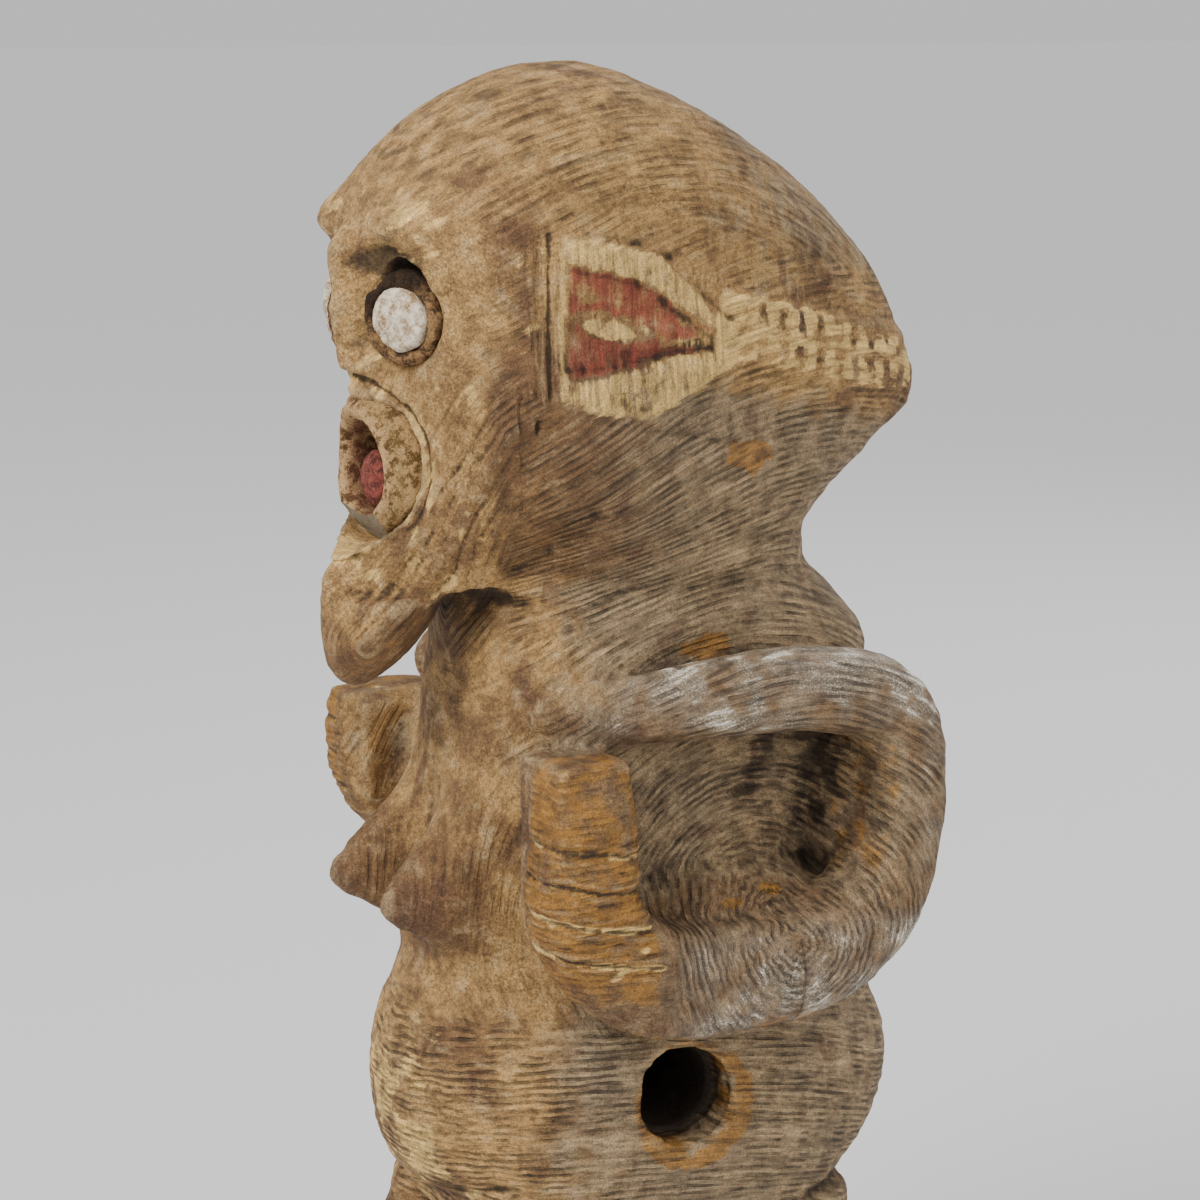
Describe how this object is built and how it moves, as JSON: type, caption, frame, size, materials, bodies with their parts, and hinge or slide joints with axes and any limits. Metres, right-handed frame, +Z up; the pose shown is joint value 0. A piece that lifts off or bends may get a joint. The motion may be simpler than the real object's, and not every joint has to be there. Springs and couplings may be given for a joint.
{
  "type": "carved ancestor figure",
  "caption": "Standing carved wooden figure with a wedge-shaped head, ring mouth, disc eyes, looped arms and a round socket in the hip; stands on its soles.",
  "frame": {"origin": "on the ground under the middle of the figure's box", "axes": "+Z up, the figure faces -Y, its left side is +X"},
  "size_m": [0.1742, 0.2164, 0.4997],
  "materials": {
    "carved_wood": "dry, tooled and dusty, with a matt patina",
    "worn_wood": "handled wood, rubbed grey and orange, with a low sheen",
    "clay_crust": "dry granular clay paste, matt",
    "white_disc": "chalky white, pitted, matt",
    "red_pigment": "dry red earth pigment, matt"
  },
  "bodies": {
    "root": {"head": "carved_wood", "trunk": "carved_wood", "hips": "carved_wood", "left_arm": "worn_wood", "right_arm": "worn_wood", "left_leg": "carved_wood", "right_leg": "carved_wood", "left_eye_bed": "clay_crust", "right_eye_bed": "clay_crust", "left_eye_disc": "white_disc", "right_eye_disc": "white_disc", "mouth_ring": "clay_crust", "tongue": "red_pigment"}
  },
  "joints": []
}
